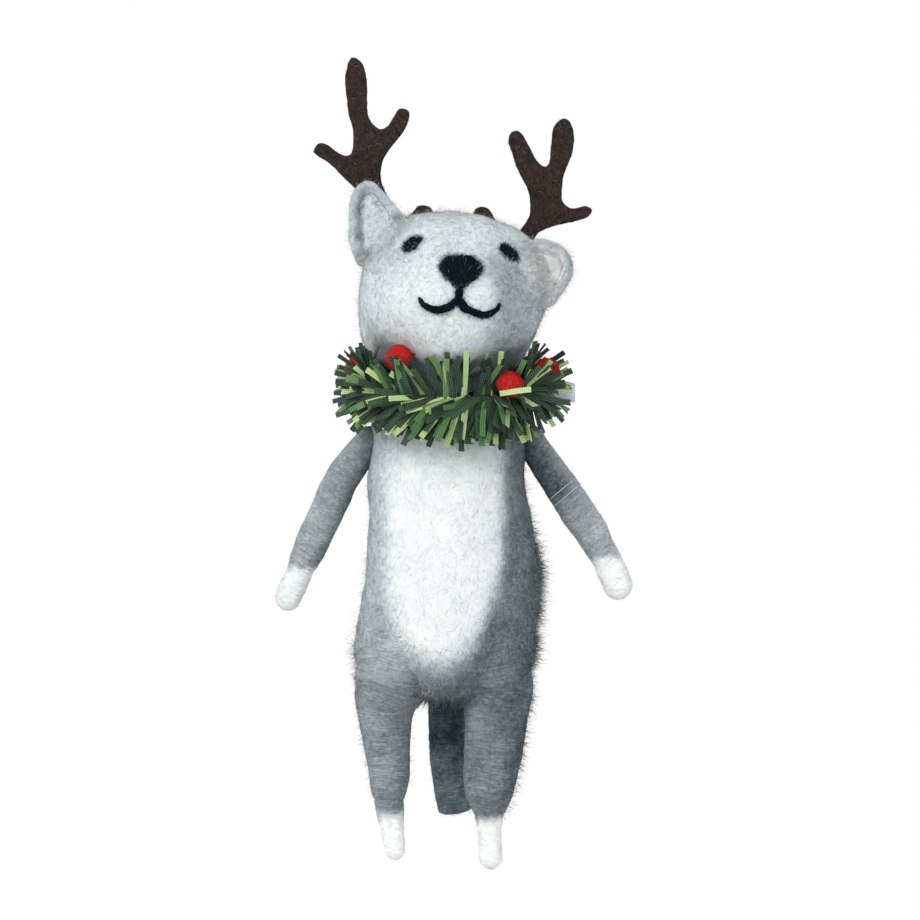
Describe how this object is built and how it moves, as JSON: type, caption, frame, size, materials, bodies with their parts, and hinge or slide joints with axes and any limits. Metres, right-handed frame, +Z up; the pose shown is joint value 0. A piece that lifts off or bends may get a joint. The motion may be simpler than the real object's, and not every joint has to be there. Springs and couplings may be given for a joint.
{
  "type": "felt christmas ornament",
  "caption": "Needle-felted woodland animal figure with felt antlers, poseable wool limbs on wire and an evergreen wreath round its neck, made to hang on a tree.",
  "frame": {"origin": "the crown of the head, where the ornament hangs", "axes": "+Z up, the face looks along -Y, +X is the right-hand side seen from the front"},
  "size_m": [0.0825, 0.0555, 0.19],
  "materials": {
    "grey_wool": "felted and wound grey wool with a fuzzy pile",
    "pale_wool": "felted pale grey wool with loose white fibres",
    "white_wool": "felted white wool",
    "lining_wool": "thin felted pale wool",
    "black_wool": "felted black wool",
    "brown_felt": "pressed dark brown felt sheet",
    "red_felt": "fuzzy red felt balls",
    "green_strip": "embossed green PVC strips in three tones",
    "satin": "thin blank satin ribbon",
    "white_thread": "fine spun thread",
    "frame_wire": "soft annealed steel wire"
  },
  "bodies": {
    "figure": {"head": "pale_wool", "antler_left": "brown_felt", "antler_right": "brown_felt", "ear_left": "pale_wool", "ear_right": "pale_wool", "ear_lining_left": "lining_wool", "ear_lining_right": "lining_wool", "eye_left": "black_wool", "eye_right": "black_wool", "nose": "black_wool", "mouth_line": "black_wool", "torso": "grey_wool", "belly_patch": "white_wool", "spine_wire": "frame_wire", "shoulder_wire": "frame_wire", "hip_wire": "frame_wire"},
    "arm_left": {"arm_left": "grey_wool", "paw_left": "white_wool", "arm_wire_left": "frame_wire"},
    "arm_right": {"arm_right": "grey_wool", "paw_right": "white_wool", "arm_wire_right": "frame_wire", "thread_wrap": "white_thread"},
    "leg_left": {"leg_left": "grey_wool", "foot_left": "white_wool", "leg_wire_left": "frame_wire"},
    "leg_right": {"leg_right": "grey_wool", "foot_right": "white_wool", "leg_wire_right": "frame_wire"},
    "tail": {"tail": "grey_wool", "tail_wire": "frame_wire"},
    "wreath": {"garland_front": "green_strip", "garland_right": "green_strip", "garland_back": "green_strip", "garland_left": "green_strip", "garland_wire": "frame_wire", "berry_1": "red_felt", "berry_2": "red_felt", "berry_3": "red_felt", "berry_4": "red_felt", "berry_5": "red_felt", "berry_6": "red_felt", "neck_tab": "satin"}
  },
  "joints": [
    {"name": "shoulder_left", "type": "hinge", "parent": "figure", "child": "arm_left", "pos_m": [-0.02042, 0, -0.05403], "axis": [0, 1, 0], "range_deg": [-6, 40]},
    {"name": "shoulder_right", "type": "hinge", "parent": "figure", "child": "arm_right", "pos_m": [0.01825, 0, -0.05403], "axis": [0, -1, 0], "range_deg": [-6, 30]},
    {"name": "hip_left", "type": "hinge", "parent": "figure", "child": "leg_left", "pos_m": [-0.01489, 0, -0.11004], "axis": [-1, 0, 0], "range_deg": [-12, 40]},
    {"name": "hip_right", "type": "hinge", "parent": "figure", "child": "leg_right", "pos_m": [0.00996, 0, -0.11004], "axis": [-1, 0, 0], "range_deg": [-12, 40]},
    {"name": "tail_lift", "type": "hinge", "parent": "figure", "child": "tail", "pos_m": [-0.00229, 0.0104, -0.10404], "axis": [1, 0, 0], "range_deg": [0, 70]},
    {"name": "wreath_turn", "type": "hinge", "parent": "figure", "child": "wreath", "pos_m": [0, 0, -0.0402], "axis": [0, -0.1908, 0.9816], "range_deg": [-20, 20]}
  ]
}
